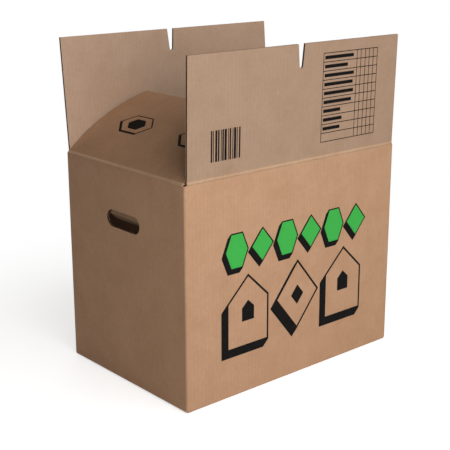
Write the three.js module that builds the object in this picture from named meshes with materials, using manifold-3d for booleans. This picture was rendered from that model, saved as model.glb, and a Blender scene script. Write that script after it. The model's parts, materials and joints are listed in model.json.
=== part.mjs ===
// Moving box: an open slotted carton folded from one sheet of single-wall corrugated board,
// with four hinged top flaps and a hinged tab in each hand hole.
//
// Millimetres, +Z up. The box stands on Z = 0 with its long sides along X. The long wall with
// the print faces -Y, and the origin lies under the middle of the whole box, flaps included.
import * as THREE from 'three';
import { mergeVertices } from 'three/addons/utils/BufferGeometryUtils.js';
import Module from 'manifold-3d';

const wasm = await Module();
wasm.setup();

// The board, and how far a press rule crushes it at a crease
const boardThickness = 4;
const creaseThickness = 1.6;

// Corrugation, open to view along the free edges of the top flaps: the pitch of the flutes,
// the flat liners, and a hollow's half width at its liner and at its crown, and its rise
const flutePitch = 7.9;
const linerThickness = 0.5;
const hollowBase = 0.36;
const hollowCrown = 0.12;
const hollowRise = 0.8;
const hollowDepth = 6;

// The box, inside, and the height of its top creases' turning lines
const insideLength = 480;
const insideWidth = 323;
const hingeHeight = 383;

// Vertical folds between the walls
const cornerRadius = 4;
const insideCornerRadius = 0.8;

// Running clearance between a flap's rolled edge and the wall that carries it
const hingeGap = 0.3;

// Top flaps: reach from the turning line to the free edge, and inset at each side edge
const topFlapReach = 197.5;
const topFlapInset = 5;

// Notches in the free edges of the two long flaps, which lock into each other when they close
const notchMouth = 15;
const notchRoot = 8;
const notchDepth = 40;

// How the flaps stand, in degrees: the long flaps lean out, the end flaps are folded in
const frontFlapAngle = 1.3;
const backFlapAngle = 4.6;
const endFlapRootAngle = 41;
const endFlapBendAngle = 28;

// Hand holes in the end walls, each with a tab that is still joined at its top edge
const handHoleWidth = 92;
const handHoleHeight = 30;
const handHoleCentreHeight = 290;
const tabKerf = 0.8;
const tabSwingAngle = 45;

// Bottom flaps: the end ones lie inside, the long ones lie under them and meet in the middle
const bottomFlapInset = 8;
const bottomCornerSlot = 3.5;
const bottomSeamGap = 1;
const bottomSeamOffset = 2;
const frontBottomFlapRise = 1.5;
const endCreaseLift = 1;
const endFoldRadius = 2.5;
const endBottomFlapReach = 165;
const endBottomFlapClearance = 1;
const bottomLayerGap = 0.3;

// Glued lap that closes the sheet into a sleeve, at the rear corner of the right-hand end
const lapWidth = 38;
const lapEndGap = 14;
const lapEndTaper = 8;
const seamWidth = 0.6;
const seamDepth = 1.5;

// Facets along the curves
const cornerSegments = 5;
const bowSegments = 14;
const holeSegments = 10;

// Worked out from the values above
const outsideLength = insideLength + 2 * boardThickness;
const outsideWidth = insideWidth + 2 * boardThickness;
const halfGap = hingeGap / 2;
const rollRadius = halfGap + creaseThickness;
const wallTop = hingeHeight - rollRadius - hingeGap;
const scoreDepth = boardThickness - creaseThickness;
const foldOverlap = 10;
const insideLayerHeight = boardThickness + frontBottomFlapRise + bottomLayerGap;
const degrees = Math.PI / 180;

// The four sides: the turn about Z that faces each one, and its distance from the middle
const sides = {
  front: { turn: 0, distance: outsideWidth / 2, length: outsideLength },
  back: { turn: Math.PI, distance: outsideWidth / 2, length: outsideLength },
  left: { turn: -Math.PI / 2, distance: outsideLength / 2, length: outsideWidth },
  right: { turn: Math.PI / 2, distance: outsideLength / 2, length: outsideWidth },
};

// Solids from geometry, and back

function toSolid(geometry) {
  const plain = geometry.clone();
  plain.deleteAttribute('normal');
  plain.deleteAttribute('uv');
  const merged = mergeVertices(plain, 1e-5);
  return new wasm.Manifold(new wasm.Mesh({
    numProp: 3,
    vertProperties: new Float32Array(merged.attributes.position.array),
    triVerts: new Uint32Array(merged.index.array),
  }));
}

function toGeometry(solid) {
  const mesh = solid.getMesh();
  const geometry = new THREE.BufferGeometry();
  geometry.setAttribute('position', new THREE.BufferAttribute(mesh.vertProperties, 3));
  geometry.setIndex(new THREE.BufferAttribute(mesh.triVerts, 1));
  geometry.computeVertexNormals();
  return geometry;
}

// A section drawn through the board, as (inward, up), swept along the wall and centred on it
function sweepAlongWall(section, length) {
  const geometry = new THREE.ExtrudeGeometry(section, {
    depth: length,
    bevelEnabled: false,
    curveSegments: cornerSegments,
  });
  geometry.translate(0, 0, -length / 2);
  const alongInward = new THREE.Vector3(0, 1, 0);
  const alongUp = new THREE.Vector3(0, 0, 1);
  const alongWall = new THREE.Vector3(1, 0, 0);
  return geometry.applyMatrix4(new THREE.Matrix4().makeBasis(alongInward, alongUp, alongWall));
}

// An outline drawn on the wall, as (along, up), cut straight through between two depths
function punchThroughWall(outline, from, to) {
  const geometry = new THREE.ExtrudeGeometry(outline, {
    depth: to - from,
    bevelEnabled: false,
    curveSegments: holeSegments,
  });
  geometry.rotateX(Math.PI / 2);
  return geometry.translate(0, to, 0);
}

// From a side's own frame (along, inward from the outer face, up) to the box's frame
function onSide(geometry, side) {
  geometry.translate(0, -side.distance, 0);
  return geometry.rotateZ(side.turn);
}

// Walls: a sleeve lofted through rounded rectangles, thinned to the crease at its top edge

function roundedLoop(inset, height) {
  const radius = Math.max(cornerRadius - inset, insideCornerRadius);
  const halfLength = outsideLength / 2 - inset - radius;
  const halfWidth = outsideWidth / 2 - inset - radius;
  const corners = [[1, -1], [1, 1], [-1, 1], [-1, -1]];
  const loop = [];
  corners.forEach(([alongX, alongY], quarter) => {
    for (let step = 0; step <= cornerSegments; step += 1) {
      const angle = (quarter - 1 + step / cornerSegments) * Math.PI / 2;
      loop.push(new THREE.Vector3(
        alongX * halfLength + radius * Math.cos(angle),
        alongY * halfWidth + radius * Math.sin(angle),
        height,
      ));
    }
  });
  return loop;
}

function loftRing(loops) {
  const count = loops[0].length;
  const positions = loops.flatMap((loop) => loop.flatMap((point) => point.toArray()));
  const indices = [];
  loops.forEach((loop, row) => {
    const next = (row + 1) % loops.length;
    for (let i = 0; i < count; i += 1) {
      const j = (i + 1) % count;
      const [a, b] = [row * count + i, row * count + j];
      const [c, d] = [next * count + j, next * count + i];
      indices.push(a, b, c, a, c, d);
    }
  });
  const geometry = new THREE.BufferGeometry();
  geometry.setAttribute('position', new THREE.Float32BufferAttribute(positions, 3));
  geometry.setIndex(indices);
  return geometry;
}

function makeWalls() {
  return loftRing([
    roundedLoop(0, boardThickness),
    roundedLoop(0, wallTop),
    roundedLoop(creaseThickness, wallTop),
    roundedLoop(boardThickness, wallTop - scoreDepth),
    roundedLoop(boardThickness, boardThickness),
  ]);
}

// Bottom folds and flaps, each as a fold strip nearly as long as the wall and a narrower flap

function longFoldSection() {
  const section = new THREE.Shape();
  section.moveTo(0, boardThickness + foldOverlap);
  section.lineTo(0, cornerRadius);
  section.absarc(cornerRadius, cornerRadius, cornerRadius, Math.PI, 1.5 * Math.PI, false);
  section.lineTo(boardThickness, boardThickness + foldOverlap);
  return section;
}

function longBottomFlapSection(reach, rise) {
  const section = new THREE.Shape();
  section.moveTo(creaseThickness, boardThickness + foldOverlap);
  section.lineTo(creaseThickness, boardThickness);
  section.lineTo(boardThickness, 0);
  section.lineTo(reach, rise);
  section.lineTo(reach, rise + boardThickness);
  section.lineTo(boardThickness, boardThickness);
  section.lineTo(boardThickness, boardThickness + foldOverlap);
  return section;
}

function endFoldSection() {
  const section = new THREE.Shape();
  const turnHeight = endCreaseLift + endFoldRadius;
  section.moveTo(0, insideLayerHeight + foldOverlap);
  section.lineTo(0, turnHeight);
  section.absarc(endFoldRadius, turnHeight, endFoldRadius, Math.PI, 1.5 * Math.PI, false);
  section.lineTo(boardThickness, endCreaseLift + boardThickness - endFoldRadius);
  section.lineTo(boardThickness, insideLayerHeight + foldOverlap);
  return section;
}

function endBottomFlapSection() {
  const section = new THREE.Shape();
  const rampEnd = endFoldRadius + insideLayerHeight - endCreaseLift;
  section.moveTo(creaseThickness, insideLayerHeight + foldOverlap);
  section.lineTo(creaseThickness, endCreaseLift + endFoldRadius);
  section.lineTo(endFoldRadius, endCreaseLift);
  section.lineTo(rampEnd, insideLayerHeight);
  section.lineTo(endBottomFlapReach, insideLayerHeight);
  section.lineTo(endBottomFlapReach, insideLayerHeight + boardThickness);
  section.lineTo(boardThickness + cornerRadius / 2, insideLayerHeight + boardThickness);
  section.lineTo(boardThickness, insideLayerHeight + boardThickness + cornerRadius / 2);
  section.lineTo(boardThickness, insideLayerHeight + foldOverlap);
  return section;
}

function makeBottom() {
  const seam = { front: bottomSeamOffset, back: -bottomSeamOffset };
  const rise = { front: frontBottomFlapRise, back: 0 };
  const pieces = [];
  for (const name of ['front', 'back']) {
    const side = sides[name];
    const reach = side.distance + seam[name] - bottomSeamGap / 2;
    const flap = longBottomFlapSection(reach, rise[name]);
    pieces.push(onSide(sweepAlongWall(longFoldSection(), side.length - 2 * bottomCornerSlot), side));
    pieces.push(onSide(sweepAlongWall(flap, side.length - 2 * bottomFlapInset), side));
  }
  for (const name of ['left', 'right']) {
    const side = sides[name];
    const flapWidth = insideWidth - 2 * endBottomFlapClearance;
    pieces.push(onSide(sweepAlongWall(endFoldSection(), side.length - 2 * bottomCornerSlot), side));
    pieces.push(onSide(sweepAlongWall(endBottomFlapSection(), flapWidth), side));
  }
  return pieces;
}

// Glued lap inside the back wall, and the slit where the back wall's cut edge meets the end wall

function makeLap() {
  const cornerX = -outsideLength / 2 + creaseThickness;
  const edgeX = -outsideLength / 2 + boardThickness + lapWidth;
  const low = insideLayerHeight + lapEndGap;
  const high = wallTop - lapEndGap;
  const outline = new THREE.Shape();
  outline.moveTo(cornerX, low);
  outline.lineTo(edgeX, low + lapEndTaper);
  outline.lineTo(edgeX, high - lapEndTaper);
  outline.lineTo(cornerX, high);
  const strip = punchThroughWall(outline, boardThickness / 2, 2 * boardThickness);
  return onSide(strip, sides.back);
}

function makeSeamSlit() {
  const slit = new THREE.Shape();
  slit.moveTo(outsideWidth / 2 - boardThickness - seamWidth, 0);
  slit.lineTo(outsideWidth / 2 - boardThickness, 0);
  slit.lineTo(outsideWidth / 2 - boardThickness, hingeHeight);
  slit.lineTo(outsideWidth / 2 - boardThickness - seamWidth, hingeHeight);
  return onSide(punchThroughWall(slit, -seamDepth, seamDepth), sides.right);
}

// Hand holes: a slot with round ends. The tab's outline is the same, smaller by the kerf, and
// runs up past the slot's straight top edge as far as its rolled hinge edge.

function handHoleOutline(inset) {
  const radius = handHoleHeight / 2;
  const straight = handHoleWidth / 2 - radius;
  const outline = new THREE.Shape();
  outline.absarc(straight, 0, radius - inset, -Math.PI / 2, Math.PI / 2, false);
  outline.absarc(-straight, 0, radius - inset, Math.PI / 2, 1.5 * Math.PI, false);
  return outline;
}

function makeHandHole(side) {
  const hole = punchThroughWall(handHoleOutline(0), -boardThickness, 2 * boardThickness);
  hole.translate(0, 0, handHoleCentreHeight);
  return onSide(hole, side);
}

function makeCartonBody() {
  let body = toSolid(makeWalls());
  for (const piece of [...makeBottom(), makeLap()]) {
    body = body.add(toSolid(piece));
  }
  for (const cut of [makeHandHole(sides.left), makeHandHole(sides.right), makeSeamSlit()]) {
    body = body.subtract(toSolid(cut));
  }
  return toGeometry(body);
}

// Flaps, drawn standing straight up from their turning line at the origin: along the hinge,
// inward, up. The hinge edge is rolled round the turning line, and the crease is pressed in
// from the inside, so a flap can fold in until it lies level and out until it hangs down.

function flapSection(reach, turn) {
  const section = new THREE.Shape();
  const outer = halfGap;
  const inner = halfGap + boardThickness;
  const bladeStart = rollRadius + scoreDepth;
  const bladeLength = reach - bladeStart;
  section.moveTo(outer, bladeStart);
  section.lineTo(outer, -Math.sqrt(rollRadius ** 2 - outer ** 2));
  section.absarc(0, 0, rollRadius, -Math.acos(outer / rollRadius), 0, false);
  section.lineTo(rollRadius, rollRadius);
  section.lineTo(inner, bladeStart);
  if (turn === 0) {
    section.lineTo(inner, reach);
    section.lineTo(outer, reach);
    return section;
  }
  const bend = bladeLength / (turn * degrees);
  for (let step = 1; step <= bowSegments; step += 1) {
    const angle = turn * degrees * step / bowSegments;
    const radius = bend - boardThickness;
    section.lineTo(outer + bend - radius * Math.cos(angle), bladeStart + radius * Math.sin(angle));
  }
  for (let step = bowSegments; step >= 1; step -= 1) {
    const angle = turn * degrees * step / bowSegments;
    section.lineTo(outer + bend - bend * Math.cos(angle), bladeStart + bend * Math.sin(angle));
  }
  return section;
}

// The hollows between the flutes and the liners, cut into a free edge from above. Seen along
// the edge, every other one stands on the outer liner and the rest hang from the inner one.
function makeFluteHollows(flapWidth, notchWidth) {
  const low = halfGap + linerThickness;
  const high = halfGap + boardThickness - linerThickness;
  const rise = hollowRise * (high - low);
  const margin = hollowBase * flutePitch + linerThickness;
  const count = Math.floor((flapWidth / 2 - margin) / (flutePitch / 2));
  const hollows = [];
  for (let index = -count; index <= count; index += 1) {
    const middle = index * flutePitch / 2;
    const standing = index % 2 === 0;
    const base = standing ? low : high;
    const crown = standing ? low + rise : high - rise;
    const hollow = new THREE.Shape();
    hollow.moveTo(middle - hollowBase * flutePitch, base);
    hollow.lineTo(middle + hollowBase * flutePitch, base);
    hollow.lineTo(middle + hollowCrown * flutePitch, crown);
    hollow.lineTo(middle - hollowCrown * flutePitch, crown);
    if (notchWidth === 0 || Math.abs(middle) > notchWidth / 2 + margin) {
      hollows.push(hollow);
    }
  }
  const geometry = new THREE.ExtrudeGeometry(hollows, {
    depth: 2 * hollowDepth,
    bevelEnabled: false,
  });
  return geometry.translate(0, 0, -hollowDepth);
}

function notchOutline() {
  const rootRadius = notchRoot / 2;
  const above = topFlapReach + boardThickness;
  const rootHeight = topFlapReach - notchDepth + rootRadius;
  const outline = new THREE.Shape();
  outline.moveTo(notchMouth / 2, above);
  outline.lineTo(-notchMouth / 2, above);
  outline.lineTo(-notchMouth / 2, topFlapReach);
  outline.lineTo(-rootRadius, rootHeight);
  outline.absarc(0, rootHeight, rootRadius, Math.PI, 2 * Math.PI, false);
  outline.lineTo(notchMouth / 2, topFlapReach);
  return outline;
}

function makeLongFlap() {
  const width = outsideLength - 2 * topFlapInset;
  const flap = sweepAlongWall(flapSection(topFlapReach, 0), width);
  const notch = punchThroughWall(notchOutline(), -boardThickness, 2 * boardThickness);
  const hollows = makeFluteHollows(width, notchMouth);
  hollows.translate(0, 0, topFlapReach);
  return toGeometry(toSolid(flap).subtract(toSolid(notch)).subtract(toSolid(hollows)));
}

function makeEndFlap() {
  const width = outsideWidth - 2 * topFlapInset;
  const flap = sweepAlongWall(flapSection(topFlapReach, endFlapBendAngle), width);
  const turn = endFlapBendAngle * degrees;
  const bladeStart = rollRadius + scoreDepth;
  const bend = (topFlapReach - bladeStart) / turn;
  const hollows = makeFluteHollows(width, 0);
  hollows.translate(0, -halfGap - bend, 0);
  hollows.rotateX(-turn);
  hollows.translate(0, halfGap + bend, bladeStart);
  return toGeometry(toSolid(flap).subtract(toSolid(hollows)));
}

// The tab turns on the wall's inner face, so it is drawn as a flap that stands up from its
// turning line and is then placed upside down, with its pressed crease outward.

const tabHingeHeight = handHoleCentreHeight + handHoleHeight / 2 - hingeGap - rollRadius;

function makeHandTab() {
  const holeCentre = tabHingeHeight - handHoleCentreHeight;
  const straight = handHoleWidth - handHoleHeight;
  const blade = sweepAlongWall(flapSection(handHoleHeight, 0), handHoleWidth);
  const slot = punchThroughWall(handHoleOutline(tabKerf), -boardThickness, 2 * boardThickness);
  const root = new THREE.Shape();
  root.moveTo(-straight / 2, -2 * rollRadius);
  root.lineTo(straight / 2, -2 * rollRadius);
  root.lineTo(straight / 2, rollRadius);
  root.lineTo(-straight / 2, rollRadius);
  const hingeStrip = punchThroughWall(root, -boardThickness, 2 * boardThickness);
  slot.translate(0, 0, holeCentre);
  return toGeometry(toSolid(blade).intersect(toSolid(slot).add(toSolid(hingeStrip))));
}

// Scene: each flap and tab hangs on the side that carries it

const kraft = { color: '#c49b79', roughness: 0.85, metalness: 0 };

function addPiece(parent, name, geometry) {
  const mesh = new THREE.Mesh(geometry, new THREE.MeshStandardMaterial(kraft));
  mesh.name = name;
  parent.add(mesh);
  return mesh;
}

function addFlap(parent, name, geometry, side, lean) {
  const group = new THREE.Group();
  group.rotation.z = side.turn;
  const flap = addPiece(group, name, geometry);
  flap.position.set(0, -side.distance - halfGap, hingeHeight);
  flap.rotation.x = lean * degrees;
  parent.add(group);
}

function addTab(parent, name, side) {
  const group = new THREE.Group();
  group.rotation.z = side.turn;
  const tab = addPiece(group, name, makeHandTab());
  tab.position.set(0, -side.distance + boardThickness + halfGap, tabHingeHeight);
  tab.rotation.x = Math.PI + tabSwingAngle * degrees;
  parent.add(group);
}

const carton = new THREE.Group();
addPiece(carton, 'carton_body', makeCartonBody());
addFlap(carton, 'front_flap', makeLongFlap(), sides.front, frontFlapAngle);
addFlap(carton, 'back_flap', makeLongFlap(), sides.back, backFlapAngle);
addFlap(carton, 'left_end_flap', makeEndFlap(), sides.left, endFlapRootAngle - 90);
addFlap(carton, 'right_end_flap', makeEndFlap(), sides.right, endFlapRootAngle - 90);
addTab(carton, 'left_hand_tab', sides.left);
addTab(carton, 'right_hand_tab', sides.right);

// The long flaps lean by different amounts, so the box is moved until it stands centred
const reachPastWall = (lean) => topFlapReach * Math.sin(lean * degrees);
carton.position.y = (reachPastWall(frontFlapAngle) - reachPastWall(backFlapAngle)) / 2;

export default carton;
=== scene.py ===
import json
import math

import bmesh
import bpy
from mathutils import Matrix, Vector


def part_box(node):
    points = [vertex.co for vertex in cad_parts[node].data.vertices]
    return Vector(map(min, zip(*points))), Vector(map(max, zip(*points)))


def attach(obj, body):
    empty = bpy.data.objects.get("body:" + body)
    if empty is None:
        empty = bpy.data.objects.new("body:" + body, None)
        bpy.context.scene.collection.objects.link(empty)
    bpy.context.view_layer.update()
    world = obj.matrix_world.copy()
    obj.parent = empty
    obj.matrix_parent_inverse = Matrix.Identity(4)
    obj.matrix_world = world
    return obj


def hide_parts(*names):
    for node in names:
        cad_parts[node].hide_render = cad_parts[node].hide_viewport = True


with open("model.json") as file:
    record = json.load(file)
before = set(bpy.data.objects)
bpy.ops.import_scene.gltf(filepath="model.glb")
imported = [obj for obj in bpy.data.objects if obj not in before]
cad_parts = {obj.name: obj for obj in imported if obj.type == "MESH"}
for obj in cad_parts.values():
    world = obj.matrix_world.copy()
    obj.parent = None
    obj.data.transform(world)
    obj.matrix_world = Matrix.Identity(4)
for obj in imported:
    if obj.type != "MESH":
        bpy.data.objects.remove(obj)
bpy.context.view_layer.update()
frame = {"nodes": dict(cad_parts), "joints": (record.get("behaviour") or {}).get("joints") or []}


# Camera: a long lens at the height of the flaps, looking down at the corner between the
# printed long wall and the left-hand end wall.
body_low, body_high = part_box("carton_body")
body_middle = (body_low + body_high) / 2
camera_azimuth = math.radians(-41.3)
camera_elevation = math.radians(15.78)
camera_distance = 1.8796
camera_target = Vector((0.0, body_middle.y, 0.2542))
image_width = 450
focal_length_in_pixels = 1029.8
target_right_of_centre = 8.0
target_above_centre = 8.8

camera_data = bpy.data.cameras.new("camera")
camera_data.sensor_width = 36.0
camera_data.lens = focal_length_in_pixels / image_width * camera_data.sensor_width
camera_data.shift_x = -target_right_of_centre / image_width
camera_data.shift_y = -target_above_centre / image_width
camera = bpy.data.objects.new("camera", camera_data)
bpy.context.scene.collection.objects.link(camera)
away = Vector((
    math.sin(camera_azimuth) * math.cos(camera_elevation),
    -math.cos(camera_azimuth) * math.cos(camera_elevation),
    math.sin(camera_elevation),
))
camera.location = camera_target + away * camera_distance
camera.rotation_euler = away.to_track_quat("Z", "Y").to_euler()
bpy.context.scene.camera = camera
bpy.context.scene.view_settings.view_transform = "Standard"


# Studio: a white painted sweep and an even pale room. To the camera the floor is lifted
# towards white, so it keeps only the shadow beside the box and ends in a plain white field.
floor_size = 12.0
floor_drop = 0.0004
floor_lift = 0.62
shadow_radius = 0.35
white_radius = 0.95


def srgb(code):
    """Turns an sRGB hex colour into the linear colour that the shaders use."""
    channels = [int(code[i:i + 2], 16) / 255 for i in (1, 3, 5)]
    linear = [c / 12.92 if c <= 0.04045 else ((c + 0.055) / 1.055) ** 2.4 for c in channels]
    return (*linear, 1.0)


def add_node(tree, kind, inputs=None, **settings):
    """Adds a node with its settings, gives each input a value or a link, and returns its outputs."""
    node = tree.nodes.new(kind)
    for name, value in settings.items():
        setattr(node, name, value)
    for socket, value in (inputs or {}).items():
        if isinstance(value, bpy.types.NodeSocket):
            tree.links.new(value, node.inputs[socket])
        else:
            node.inputs[socket].default_value = value
    return node.outputs


def new_material(name):
    """A material with an empty node tree."""
    material = bpy.data.materials.new(name)
    material.use_nodes = True
    material.node_tree.nodes.clear()
    return material, material.node_tree


white = srgb("#ffffff")
sweep_paint, tree = new_material("white_painted_sweep")
matt_white = add_node(tree, "ShaderNodeBsdfDiffuse", {"Color": srgb("#e4e4e2")})[0]
lift = add_node(tree, "ShaderNodeEmission", {"Color": white, "Strength": floor_lift})[0]
lifted = add_node(tree, "ShaderNodeAddShader", {0: matt_white, 1: lift})[0]
place = add_node(tree, "ShaderNodeTexCoord")["Object"]
distance = add_node(tree, "ShaderNodeVectorMath", {0: place}, operation="LENGTH")["Value"]
fade = add_node(tree, "ShaderNodeMapRange",
                {"Value": distance, "From Min": shadow_radius, "From Max": white_radius},
                interpolation_type="SMOOTHSTEP")[0]
pure_white = add_node(tree, "ShaderNodeEmission", {"Color": white, "Strength": 1.0})[0]
faded = add_node(tree, "ShaderNodeMixShader", {0: fade, 1: lifted, 2: pure_white})[0]
to_camera = add_node(tree, "ShaderNodeLightPath")["Is Camera Ray"]
seen = add_node(tree, "ShaderNodeMixShader", {0: to_camera, 1: matt_white, 2: faded})[0]
add_node(tree, "ShaderNodeOutputMaterial", {"Surface": seen})

floor_mesh = bpy.data.meshes.new("floor")
bm = bmesh.new()
bmesh.ops.create_grid(bm, x_segments=1, y_segments=1, size=floor_size / 2)
bmesh.ops.translate(bm, verts=bm.verts, vec=(0, 0, -floor_drop))
bm.to_mesh(floor_mesh)
bm.free()
floor = bpy.data.objects.new("floor", floor_mesh)
floor.data.materials.append(sweep_paint)
bpy.context.scene.collection.objects.link(floor)

world = bpy.data.worlds.new("pale_room")
world.use_nodes = True
tree = world.node_tree
tree.nodes.clear()
room = add_node(tree, "ShaderNodeBackground", {"Color": srgb("#f4f5f7"), "Strength": 0.17})[0]
backdrop = add_node(tree, "ShaderNodeBackground", {"Color": white, "Strength": 1.0})[0]
to_camera = add_node(tree, "ShaderNodeLightPath")["Is Camera Ray"]
seen = add_node(tree, "ShaderNodeMixShader", {0: to_camera, 1: room, 2: backdrop})[0]
add_node(tree, "ShaderNodeOutputWorld", {"Surface": seen})
bpy.context.scene.world = world


# Lamps: a soft key lamp at the left front, a larger one high in front, and one behind the box
# for the faces that point away. None of them is seen itself.
def add_area_lamp(name, place, aim, size, power):
    """A square soft lamp at a place, turned to face a point."""
    data = bpy.data.lights.new(name, "AREA")
    data.size = size
    data.energy = power
    lamp = bpy.data.objects.new(name, data)
    lamp.location = place
    lamp.rotation_euler = (Vector(place) - Vector(aim)).to_track_quat("Z", "Y").to_euler()
    lamp.visible_camera = False
    bpy.context.scene.collection.objects.link(lamp)


add_area_lamp("key_lamp", place=(-0.6, -1.65, 0.9), aim=(0, 0, 0.3), size=1.2, power=16.5)
add_area_lamp("top_lamp", place=(0.4, -1.5, 2.3), aim=(0, 0, 0.4), size=2.0, power=25)
add_area_lamp("rear_lamp", place=(1.3, 2.2, 1.1), aim=(0, 0, 0.3), size=1.8, power=16)


# Carton body: the four walls and the closed bottom, folded from one sheet of single-wall
# corrugated kraft board and glued at one corner. The outside is matt brown kraft liner with
# long paper fibres, and the flutes inside show through as faint upright lines.
mm = 0.001
board_thickness = 4.0
liner_thickness = 0.4
flute_pitch = 7.9
turns_per_mm = 2 * math.pi / flute_pitch
hand_hole_height = 290.0
hand_hole_reach_sideways = 50.0
hand_hole_reach_upwards = 20.0
bottom_flap_ends = (7.5, 9.0)
edge_tolerance = 0.2
cloud_size = 45.0
mottle_size = 7.0
fibre_width = 1.1
fleck_size = 0.9
fibres_level = (0.25, 0.25, 1.0)
fibres_along_y = (1.0, 0.25, 1.0)
outer_light = "#c89f7f"
outer_dark = "#ba906f"


def position_in_mm(tree):
    """The object coordinates in millimetres."""
    place = add_node(tree, "ShaderNodeTexCoord")["Object"]
    in_mm = (1 / mm, 1 / mm, 1 / mm)
    return add_node(tree, "ShaderNodeVectorMath", {0: place, 1: in_mm}, operation="MULTIPLY")[0]


def kraft_liner(name, light, dark, flutes, fibres_along, show_through=0.035, marks=None):
    """Kraft liner: a matt sheet with clouds of pulp, fibres, dark flecks and faint flute lines.

    Real fibres are finer than a picture shows, so they are drawn about a millimetre wide.
    """
    material, tree = new_material(name)
    place = position_in_mm(tree)
    axes = add_node(tree, "ShaderNodeSeparateXYZ", {0: place})
    patterns = []
    for size, detail, stretch in (
        (cloud_size, 2.0, (1.0, 1.0, 1.0)),
        (mottle_size, 3.0, (1.0, 1.0, 1.0)),
        (fibre_width, 2.0, fibres_along),
        (fleck_size, 1.0, (1.0, 1.0, 0.5)),
    ):
        spread = add_node(tree, "ShaderNodeVectorMath", {0: place, 1: stretch}, operation="MULTIPLY")[0]
        patterns.append(add_node(tree, "ShaderNodeTexNoise", {
            "Vector": spread, "Scale": 1 / size, "Detail": detail, "Roughness": 0.55})["Fac"])
    clouds, mottle, fibres, flecks = patterns
    mix = add_node(tree, "ShaderNodeMath", {0: clouds, 1: 0.45}, operation="MULTIPLY")[0]
    mix = add_node(tree, "ShaderNodeMath", {0: mottle, 1: 0.35, 2: mix}, operation="MULTIPLY_ADD")[0]
    mix = add_node(tree, "ShaderNodeMath", {0: fibres, 1: 0.30, 2: mix}, operation="MULTIPLY_ADD")[0]
    pale = add_node(tree, "ShaderNodeMapRange", {"Value": mix, "From Min": 0.36, "From Max": 0.74})[0]
    colour = add_node(tree, "ShaderNodeMix", {0: pale, 6: srgb(dark), 7: srgb(light)}, data_type="RGBA")[2]

    fleck = add_node(tree, "ShaderNodeMath", {0: flecks, 1: 0.74}, operation="GREATER_THAN")[0]
    fleck = add_node(tree, "ShaderNodeMath", {0: fleck, 1: 0.35}, operation="MULTIPLY")[0]
    colour = add_node(tree, "ShaderNodeMix", {0: fleck, 6: colour, 7: srgb("#7d5a3c")}, data_type="RGBA")[2]

    ridges = 0.0
    for axis in flutes:
        turn = add_node(tree, "ShaderNodeMath", {0: axes[axis], 1: turns_per_mm}, operation="MULTIPLY")[0]
        wave = add_node(tree, "ShaderNodeMath", {0: turn}, operation="COSINE")[0]
        ridges = add_node(tree, "ShaderNodeMath", {0: wave, 1: ridges}, operation="ADD")[0]
    shade = add_node(tree, "ShaderNodeMath", {0: ridges, 1: show_through, 2: show_through},
                     operation="MULTIPLY_ADD")[0]
    colour = add_node(tree, "ShaderNodeMix", {0: shade, 6: colour, 7: srgb(dark)},
                      data_type="RGBA", blend_type="MULTIPLY")[2]
    if marks:
        colour = marks(tree, axes, colour)

    height = add_node(tree, "ShaderNodeMath", {0: ridges, 1: 0.05}, operation="MULTIPLY")[0]
    height = add_node(tree, "ShaderNodeMath", {0: fibres, 1: 0.10, 2: height}, operation="MULTIPLY_ADD")[0]
    height = add_node(tree, "ShaderNodeMath", {0: mottle, 1: 0.16, 2: height}, operation="MULTIPLY_ADD")[0]
    bump = add_node(tree, "ShaderNodeBump", {"Height": height, "Strength": 0.55, "Distance": 0.6 * mm})[0]
    rough = add_node(tree, "ShaderNodeMapRange", {"Value": mottle, "To Min": 0.78, "To Max": 0.92})[0]
    shader = add_node(tree, "ShaderNodeBsdfPrincipled", {
        "Base Color": colour, "Roughness": rough, "Normal": bump,
        "IOR": 1.45, "Specular IOR Level": 0.25})[0]
    add_node(tree, "ShaderNodeOutputMaterial", {"Surface": shader})
    return material


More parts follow.
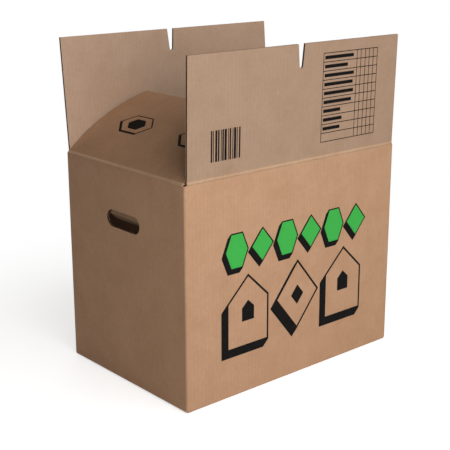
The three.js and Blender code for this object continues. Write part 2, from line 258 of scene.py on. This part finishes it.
def body_shade_and_cut_faces(tree, axes, colour):
    """Painted shade that darkens the inside of the body, and the brown flute wave where the board is cut
    through, with painted shade in its hollows.
    """
    x, y, z = axes
    middle = body_middle.y / mm
    half_length = body_high.x / mm
    half_width = (body_high.y - body_low.y) / 2 / mm
    half_core = board_thickness / 2 - liner_thickness
    wall = board_thickness - edge_tolerance
    end_low, end_high = bottom_flap_ends

    from_middle = add_node(tree, "ShaderNodeMath", {0: x}, operation="ABSOLUTE")[0]
    depth = add_node(tree, "ShaderNodeMath", {0: half_length, 1: from_middle}, operation="SUBTRACT")[0]
    bands = [
        add_node(tree, "ShaderNodeMath", {0: value, 1: centre, 2: reach}, operation="COMPARE")[0]
        for value, centre, reach in (
            (depth, board_thickness / 2, half_core),
            (y, middle, hand_hole_reach_sideways),
            (z, hand_hole_height, hand_hole_reach_upwards),
            (depth, (end_low + end_high) / 2, (end_high - end_low) / 2),
            (z, board_thickness / 2, half_core),
            (x, 0.0, half_length - wall),
            (y, middle, half_width - wall),
        )
    ]
    wall_core, hole_width, hole_height, flap_end, floor_core, within_length, within_width = bands

    # Painted shade: the inside of the body, above the floor board, is mixed 0.6 of the way towards a dark
    # brown.
    above_floor = add_node(tree, "ShaderNodeMath", {0: z, 1: wall}, operation="GREATER_THAN")[0]
    inside = add_node(tree, "ShaderNodeMath", {0: within_length, 1: within_width}, operation="MULTIPLY")[0]
    inside = add_node(tree, "ShaderNodeMath", {0: inside, 1: above_floor}, operation="MULTIPLY")[0]
    painted_inside_shade = add_node(tree, "ShaderNodeMath", {0: inside, 1: 0.6}, operation="MULTIPLY")[0]
    colour = add_node(tree, "ShaderNodeMix", {0: painted_inside_shade, 6: colour, 7: srgb("#4c3424")}, data_type="RGBA")[2]

    # Painted shade on the cut faces: between the brown waves of the medium the hollows are coloured near
    # black.
    turn = add_node(tree, "ShaderNodeMath", {0: y, 1: turns_per_mm}, operation="MULTIPLY")[0]
    wave = add_node(tree, "ShaderNodeMath", {0: turn}, operation="COSINE")[0]
    medium_depth = add_node(tree, "ShaderNodeMath",
                            {0: wave, 1: 0.36 * board_thickness, 2: 0.5 * board_thickness},
                            operation="MULTIPLY_ADD")[0]
    medium = add_node(tree, "ShaderNodeMath", {0: depth, 1: medium_depth, 2: 0.09 * board_thickness},
                      operation="COMPARE")[0]
    fluting = add_node(tree, "ShaderNodeMix", {0: medium, 6: srgb("#1d130c"), 7: srgb("#6b503a")},
                       data_type="RGBA")[2]
    hole = add_node(tree, "ShaderNodeMath", {0: hole_width, 1: hole_height}, operation="MULTIPLY")[0]
    hole_edge = add_node(tree, "ShaderNodeMath", {0: wall_core, 1: hole}, operation="MULTIPLY")[0]
    cut = add_node(tree, "ShaderNodeMath", {0: flap_end, 1: floor_core, 2: hole_edge},
                   operation="MULTIPLY_ADD", use_clamp=True)[0]
    return add_node(tree, "ShaderNodeMix", {0: cut, 6: colour, 7: fluting}, data_type="RGBA")[2]


body_liner = kraft_liner("kraft_liner_outside", outer_light, outer_dark, "XY", fibres_level,
                         show_through=0.03, marks=body_shade_and_cut_faces)
carton_body = frame["nodes"]["carton_body"]
carton_body.data.materials.clear()
carton_body.data.materials.append(body_liner)


# Long top flaps: die-cut board, two flat liners with a wavy fluted medium glued between them.
# The free edge shows the ends of the flutes, and each cut beside a flute shows a dark hollow.
# The crease is pressed in from the inside, so its outer liner stands out as a low round bead.
top_flap_reach = 197.5
crease_thickness = 1.6
hinge_gap = 0.3
outer_face = hinge_gap / 2
roll_radius = outer_face + crease_thickness
blade_start = roll_radius + board_thickness - crease_thickness
medium_thickness = 0.35
medium_grain = 2.0
edge_setback = 2.0
steps_per_flute = 10
crease_gap = 0.1
bead_bulge = 0.8
bead_top = 2.4
bead_height = 3.9
bead_steps = 10
bead_roundness = 1.4
notch_mouth = 15.0
notch_root = 8.0
notch_depth = 40.0
notch_backing = 60.0
sharpest_smooth = math.radians(35)
outside_slot, fluting_slot, inside_slot, crease_slot, cut_slot = range(5)
joints = {joint["child"]: joint for joint in frame["joints"]}


def hinge_place(body, turn, lean):
    """From a flap's own frame in mm, standing up from its hinge, to its place at rest."""
    return (Matrix.Translation(Vector(joints[body]["pos_m"]))
            @ Matrix.Rotation(math.radians(turn), 4, "Z")
            @ Matrix.Rotation(math.radians(lean), 4, "X")
            @ Matrix.Scale(mm, 4))


def extrude_outline(bm, outline, along):
    """Makes one closed prism from an outline of points and a vector, and returns its faces."""
    before = set(bm.faces)
    face = bm.faces.new([bm.verts.new(point) for point in outline])
    grown = bmesh.ops.extrude_face_region(bm, geom=[face])["geom"]
    verts = [vert for vert in grown if isinstance(vert, bmesh.types.BMVert)]
    bmesh.ops.translate(bm, verts=verts, vec=along)
    bmesh.ops.recalc_face_normals(bm, faces=bm.faces)
    return set(bm.faces) - before


def add_sheet(bm, x_range, height_range, columns, rows, depth, thickness, slot):
    """A thin closed sheet in the board, whose depth below the outer face may follow x."""
    (left, right), (low, high) = x_range, height_range
    grid = bmesh.ops.create_grid(bm, x_segments=columns, y_segments=rows, size=0.5)["verts"]
    for vert in grid:
        x = left + (vert.co.x + 0.5) * (right - left)
        vert.co = (x, outer_face + depth(x), low + (vert.co.y + 0.5) * (high - low))
    faces = list({face for vert in grid for face in vert.link_faces})
    grown = bmesh.ops.extrude_face_region(bm, geom=faces)["geom"]
    verts = [vert for vert in grown if isinstance(vert, bmesh.types.BMVert)]
    bmesh.ops.translate(bm, verts=verts, vec=(0, thickness, 0))
    sheet = {face for vert in verts + grid for face in vert.link_faces}
    bmesh.ops.recalc_face_normals(bm, faces=list(sheet))
    for face in sheet:
        # The upward ends of a sheet take the pale cut-edge colour, partly as a painted highlight; its other
        # ends keep the sheet's own colour.
        face.material_index = cut_slot if face.normal.z > 0.9 else slot
    return sheet


def add_fluting(bm, x_range, height_range, rows=1):
    """The fluted medium: a sheet in even waves that touches both liners."""
    height = board_thickness - 2 * liner_thickness - medium_thickness
    columns = round((x_range[1] - x_range[0]) / flute_pitch * steps_per_flute)

    def wave(x):
        return liner_thickness + height * (0.5 - 0.5 * math.cos(turns_per_mm * x))

    add_sheet(bm, x_range, height_range, columns, rows, wave, medium_thickness, fluting_slot)


def add_crease(bm, half_width):
    """The pressed strip that rolls round the hinge line, up to where the board is full."""
    bead = []
    for step in range(bead_steps):
        bulge = math.sin(math.pi * step / bead_steps) ** bead_roundness
        bead.append((outer_face - bead_bulge * bulge, bead_top - bead_height * step / bead_steps))
    radius = roll_radius + hinge_gap - crease_gap
    turns = [math.radians(degrees) for degrees in range(-85, -9, 15)]
    roll = [(math.cos(turn) * radius, math.sin(turn) * radius) for turn in turns]
    inner = [(roll_radius, 0.0), (roll_radius, roll_radius), (outer_face + board_thickness, blade_start)]
    section = [(outer_face, blade_start), *bead, *roll, *inner]
    strip = extrude_outline(bm, [(-half_width, y, z) for y, z in section], (2 * half_width, 0, 0))
    for face in strip:
        face.material_index = crease_slot


def shade_hollow_side(faces, side):
    """The face of a liner that looks into the board gets the dark medium colour, as painted shade in the
    hollows.
    """
    for face in faces:
        if face.normal.y * side > 0.9:
            face.material_index = fluting_slot


def add_notched_liner(bm, half_width, depth, slot, side):
    """A flat liner of a long flap, with the lock notch cut into its free edge."""
    radius = notch_root / 2
    root = top_flap_reach - notch_depth + radius
    turns = [math.radians(degrees) for degrees in range(0, -181, -20)]
    outline = [
        (-half_width, blade_start),
        (half_width, blade_start),
        (half_width, top_flap_reach),
        (notch_mouth / 2, top_flap_reach),
        *((math.cos(turn) * radius, root + math.sin(turn) * radius) for turn in turns),
        (-notch_mouth / 2, top_flap_reach),
        (-half_width, top_flap_reach),
    ]
    liner = extrude_outline(bm, [(x, outer_face + depth, z) for x, z in outline], (0, liner_thickness, 0))
    for face in liner:
        face.material_index = slot if abs(face.normal.y) > 0.9 else cut_slot
    shade_hollow_side(liner, side)


def place_piece(bm, name, materials, place, body):
    """Ends a piece: its place goes into its mesh, and its object stays at the origin."""
    bmesh.ops.transform(bm, matrix=place, verts=bm.verts)
    for face in bm.faces:
        face.smooth = True
    for edge in bm.edges:
        edge.smooth = edge.calc_face_angle(math.pi) < sharpest_smooth
    mesh = bpy.data.meshes.new(name)
    bm.to_mesh(mesh)
    bm.free()
    piece = bpy.data.objects.new(name, mesh)
    for material in materials:
        piece.data.materials.append(material)
    bpy.context.scene.collection.objects.link(piece)
    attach(piece, body)
    return piece


# The flap liners are the same kraft as the walls. Outside they are drawn greyer and darker, as
# painted shade, and inside paler. The medium is dark recycled paper, drawn darker still as painted
# shade in its hollows; a pressed crease is drawn pale as a painted highlight, and cut ends are
# drawn pale, for torn, paler fibres and partly as a painted highlight.
flap_outside = kraft_liner("kraft_liner_flap_outside", "#b3957e", "#a7886f", "X", fibres_level, 0.02)
flap_inside = kraft_liner("kraft_liner_flap_inside", "#c6a78f", "#ba9a81", "X", fibres_level, 0.02)
crease_highlight_liner = kraft_liner("kraft_liner_crease_painted_highlight", "#c8a587", "#b99474", "", fibres_level)
cut_board = kraft_liner("kraft_board_cut_edge", "#e6cdb2", "#d8bc9e", "", fibres_level)
# Dark recycled medium, drawn darker still as painted shade for the flute hollows.
fluting_paper_and_hollow_shade, tree = new_material("fluting_medium_with_painted_shade")
grain = add_node(tree, "ShaderNodeTexNoise", {
    "Vector": position_in_mm(tree), "Scale": 1 / medium_grain, "Detail": 3.0, "Roughness": 0.55})["Fac"]
brown = add_node(tree, "ShaderNodeMix", {0: grain, 6: srgb("#4a3526"), 7: srgb("#664b36")},
                 data_type="RGBA")[2]
shader = add_node(tree, "ShaderNodeBsdfPrincipled", {"Base Color": brown, "Roughness": 0.95})[0]
add_node(tree, "ShaderNodeOutputMaterial", {"Surface": shader})


def make_long_flap(body, turn, lean):
    """One long flap with its crease, two liners, fluting and notch."""
    half_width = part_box(body)[1].x / mm
    notch_low = top_flap_reach - notch_depth
    notch_side = notch_mouth / 2
    fluting_side = half_width - edge_setback
    bm = bmesh.new()
    add_crease(bm, half_width)
    add_notched_liner(bm, half_width, 0.0, outside_slot, 1)
    add_notched_liner(bm, half_width, board_thickness - liner_thickness, inside_slot, -1)
    add_fluting(bm, (-fluting_side, -notch_side), (blade_start, top_flap_reach))
    add_fluting(bm, (notch_side, fluting_side), (blade_start, top_flap_reach))
    add_fluting(bm, (-notch_side, notch_side), (notch_low - notch_backing, notch_low))
    materials = (flap_outside, fluting_paper_and_hollow_shade, flap_inside, crease_highlight_liner, cut_board)
    flap = place_piece(bm, body + "_board", materials, hinge_place(body, turn, lean), body)
    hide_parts(body)


front_lean = 1.3
back_lean = 4.6
make_long_flap("front_flap", 0, front_lean)
make_long_flap("back_flap", 180, back_lean)


# Print on the long wall and its flap: plain shapes, a ruled table and bars, laid on the liner
# with one black and one green plate before the board was cut. The water-based ink is a thin
# matt film, a little worn, so that the paper shows through it in places.
ink_height = 0.06
ink_depth = 0.15
ink_grain = 1.6
small_line = 2.4
small_drop = 7.0
large_line = 3.6
large_drop = 12.0
black_plate, green_plate = range(2)


def flexo_ink(name, code, worn):
    """Matt ink in one colour, with a share of the paper's own colour where it is worn."""
    material, tree = new_material(name)
    place = position_in_mm(tree)
    spread = add_node(tree, "ShaderNodeVectorMath", {0: place, 1: (0.5, 0.5, 1.0)}, operation="MULTIPLY")[0]
    patches = add_node(tree, "ShaderNodeTexNoise", {
        "Vector": spread, "Scale": 1 / ink_grain, "Detail": 3.0, "Roughness": 0.55})["Fac"]
    missed = add_node(tree, "ShaderNodeMapRange",
                      {"Value": patches, "From Min": 0.5, "From Max": 0.85, "To Max": worn})[0]
    colour = add_node(tree, "ShaderNodeMix", {0: missed, 6: srgb(code), 7: srgb(outer_dark)},
                      data_type="RGBA")[2]
    shader = add_node(tree, "ShaderNodeBsdfPrincipled", {
        "Base Color": colour, "Roughness": 0.7, "Specular IOR Level": 0.15})[0]
    add_node(tree, "ShaderNodeOutputMaterial", {"Surface": shader})
    return material


black_ink = flexo_ink("black_flexo_ink", "#0b0b0c", 0.03)
green_ink = flexo_ink("green_flexo_ink", "#3fb44d", 0.10)


def ink_patch(bm, points, plate):
    """One flat patch of ink, on its way to becoming a film."""
    face = bm.faces.new([bm.verts.new((x, -ink_height, z)) for x, z in points])
    face.material_index = plate


def finish_print(bm, name, place, body, bend=None):
    """Gives the flat patches of a print the thickness of an ink film and ends the piece."""
    bmesh.ops.remove_doubles(bm, verts=bm.verts, dist=1e-4)
    for face in bm.faces:
        if face.normal.y > 0:
            face.normal_flip()
    grown = bmesh.ops.extrude_face_region(bm, geom=bm.faces[:], use_keep_orig=True)["geom"]
    verts = [vert for vert in grown if isinstance(vert, bmesh.types.BMVert)]
    bmesh.ops.translate(bm, verts=verts, vec=(0, ink_depth, 0))
    bmesh.ops.recalc_face_normals(bm, faces=bm.faces)
    if bend:
        bend(bm)
    place_piece(bm, name, (black_ink, green_ink), place, body)


def scaled(shape, centre, size):
    """Puts a shape drawn in a square of side 2 at a centre, with a width and height."""
    return [(centre[0] + x * size[0] / 2, centre[1] + z * size[1] / 2) for x, z in shape]


def inset(outline, distance):
    """The same convex outline, drawn a constant distance further in."""
    points = []
    for before, corner, after in zip(outline[-1:] + outline[:-1], outline, outline[1:] + outline[:1]):
        corner = Vector(corner)
        to_before = (Vector(before) - corner).normalized()
        to_after = (Vector(after) - corner).normalized()
        half_angle = to_before.angle(to_after) / 2
        inward = (to_before + to_after).normalized()
        points.append(tuple(corner + inward * distance / math.sin(half_angle)))
    return points


def print_block(bm, shape, centre, size, line, drop, filled=False, window=None):
    """An outlined shape with a black block shadow to its lower left."""
    outline = scaled(shape, centre, size)
    inner = inset(outline, line)
    for i in range(len(shape)):
        j = (i + 1) % len(shape)
        ink_patch(bm, (outline[i], outline[j], inner[j], inner[i]), black_plate)
        (x0, z0), (x1, z1) = outline[i], outline[j]
        faces_lower_left = x1 - x0 > z1 - z0 + 1e-6
        if faces_lower_left:
            shadow = ((x0 - drop, z0 - drop), (x1 - drop, z1 - drop))
            ink_patch(bm, (outline[j], outline[i], *shadow), black_plate)
    if filled:
        ink_patch(bm, inner, green_plate)
    if window:
        ink_patch(bm, scaled(shape, centre, window), black_plate)


diamond = ((0, -1), (1, 0), (0, 1), (-1, 0))
hexagon = ((-0.5, -1), (0.5, -1), (1, 0), (0.5, 1), (-0.5, 1), (-1, 0))
house = ((-0.9, -1), (0.9, -1), (0.9, 0.3), (0, 1), (-0.9, 0.3))

bm = bmesh.new()
for i, shape in enumerate((hexagon, diamond) * 3):
    print_block(bm, shape, (-137.0 + 57.0 * i, 256.0), (52.0, 62.0), small_line, small_drop, filled=True)
for x, shape in ((-112.0, house), (3.0, diamond), (118.0, house)):
    print_block(bm, shape, (x, 148.0), (104.0, 128.0), large_line, large_drop, window=(30.0, 36.0))
wall_place = Matrix.Translation((0, body_low.y, 0)) @ Matrix.Scale(mm, 4)
finish_print(bm, "wall_print", wall_place, "carton")

table_low = 27.0
table_columns = (52.0, 134.0, 144.0, 155.0, 165.0, 175.5, 186.0)
row_height = 15.1
rule = 1.3
label_margin = (3.5, 4.0)
label_widths = (0, 42, 46, 42, 68, 72, 70, 72, 56, 70)
bars_left = -192.0
bars_height = (28.0, 78.0)
bars_and_gaps = ((3, 1.5), (1.5, 3), (4, 1.5), (3, 3), (1.5, 1.5), (3, 1.5), (4.5, 3), (1.5, 1.5), (3, 3),
                 (1.5, 1.5), (4.5, 1.5), (1.5, 3), (3, 1.5))


def print_bar(bm, x0, x1, z0, z1):
    """A straight ruled line or bar, drawn as a rectangle."""
    ink_patch(bm, ((x0, z0), (x1, z0), (x1, z1), (x0, z1)), black_plate)


bm = bmesh.new()
table_left, table_right = table_columns[0], table_columns[-1]
for row in range(len(label_widths) + 1):
    height = table_low + row * row_height
    print_bar(bm, table_left - rule / 2, table_right + rule / 2, height - rule / 2, height + rule / 2)
for row, width in enumerate(label_widths):
    low = table_low + row * row_height + rule / 2
    high = low + row_height - rule
    for x in table_columns:
        print_bar(bm, x - rule / 2, x + rule / 2, low, high)
    if width:
        left = table_left + label_margin[0]
        print_bar(bm, left, left + width, low + label_margin[1], high - label_margin[1])
x = bars_left
for width, gap in bars_and_gaps:
    print_bar(bm, x, x + width, *bars_height)
    x += width + gap
flap_place = hinge_place("front_flap", 0, front_lean) @ Matrix.Translation((0, outer_face, 0))
finish_print(bm, "flap_print", flap_place, "front_flap")


# End top flaps: the same board, folded in from the end walls. They were pressed flat for
# shipping and spring back, so each one bows up in a shallow arc between its crease and edge.
end_flap_rise = 41
end_flap_root = end_flap_rise - 90
end_flap_bend = math.radians(28)
bend_radius = (top_flap_reach - blade_start) / end_flap_bend
bend_rows = 28
# The end flap liner is drawn darker than the walls it folds from, as painted shade.
end_liner = kraft_liner("kraft_liner_end_flaps", "#b9906f", "#a57f60", "Y", fibres_along_y)


def bend_board(bm):
    """Bends flat board, or ink that lies on it, round the shallow arc of an end flap."""
    for vert in bm.verts:
        angle = (vert.co.z - blade_start) / bend_radius
        radius = bend_radius - (vert.co.y - outer_face)
        vert.co.y = outer_face + bend_radius - radius * math.cos(angle)
        vert.co.z = blade_start + radius * math.sin(angle)


def make_end_flap(body, turn):
    """One end flap, built flat and then bent round its arc."""
    half_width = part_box(body)[1].y / mm - body_middle.y / mm
    fluting_side = half_width - edge_setback
    heights = (blade_start, top_flap_reach)
    bm = bmesh.new()
    for depth, side in ((0.0, 1), (board_thickness - liner_thickness, -1)):
        liner = add_sheet(bm, (-half_width, half_width), heights, 1, bend_rows,
                          lambda x, d=depth: d, liner_thickness, outside_slot)
        shade_hollow_side(liner, side)
    add_fluting(bm, (-fluting_side, fluting_side), heights, bend_rows)
    bend_board(bm)
    add_crease(bm, half_width)
    materials = (end_liner, fluting_paper_and_hollow_shade, end_liner, crease_highlight_liner, cut_board)
    flap = place_piece(bm, body + "_board", materials, hinge_place(body, turn, end_flap_root), body)
    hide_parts(body)


make_end_flap("left_end_flap", -90)
make_end_flap("right_end_flap", 90)


# Print on the left end flap: two plain outlined shapes in the black plate. The film is cut
# across in small steps, so that it follows the same arc as the board it was printed on.
mark_size = (88.0, 46.0)
mark_window = (46.0, 26.0)
mark_height = 94.0
mark_line = 2.4
mark_drop = 2.0
ink_steps = range(66, 126, 4)


def bend_ink(bm):
    """Cuts the ink film across at small steps and bends it."""
    for height in ink_steps:
        everything = bm.verts[:] + bm.edges[:] + bm.faces[:]
        bmesh.ops.bisect_plane(bm, geom=everything, plane_co=(0, 0, height), plane_no=(0, 0, 1))
    bmesh.ops.translate(bm, verts=bm.verts, vec=(0, outer_face, 0))
    bend_board(bm)


bm = bmesh.new()
for along in (-60.0, 104.0):
    print_block(bm, hexagon, (along, mark_height), mark_size, mark_line, mark_drop, window=mark_window)
end_flap_place = hinge_place("left_end_flap", -90, end_flap_root)
finish_print(bm, "end_flap_print", end_flap_place, "left_end_flap", bend_ink)


# Hand-hole tabs: the die-cut pieces of the end walls, pushed in on the crease at their top.
# They are the same board and liner as the walls; their darker colour is painted shade for where they hang
# inside.
tab_liner_painted_shade = kraft_liner("kraft_liner_hand_tabs_painted_shade", "#a58568", "#8a6c52", "Y", fibres_along_y)
for name in ("left_hand_tab", "right_hand_tab"):
    tab = frame["nodes"][name]
    tab.data.materials.clear()
    tab.data.materials.append(tab_liner_painted_shade)


bpy.context.view_layer.update()
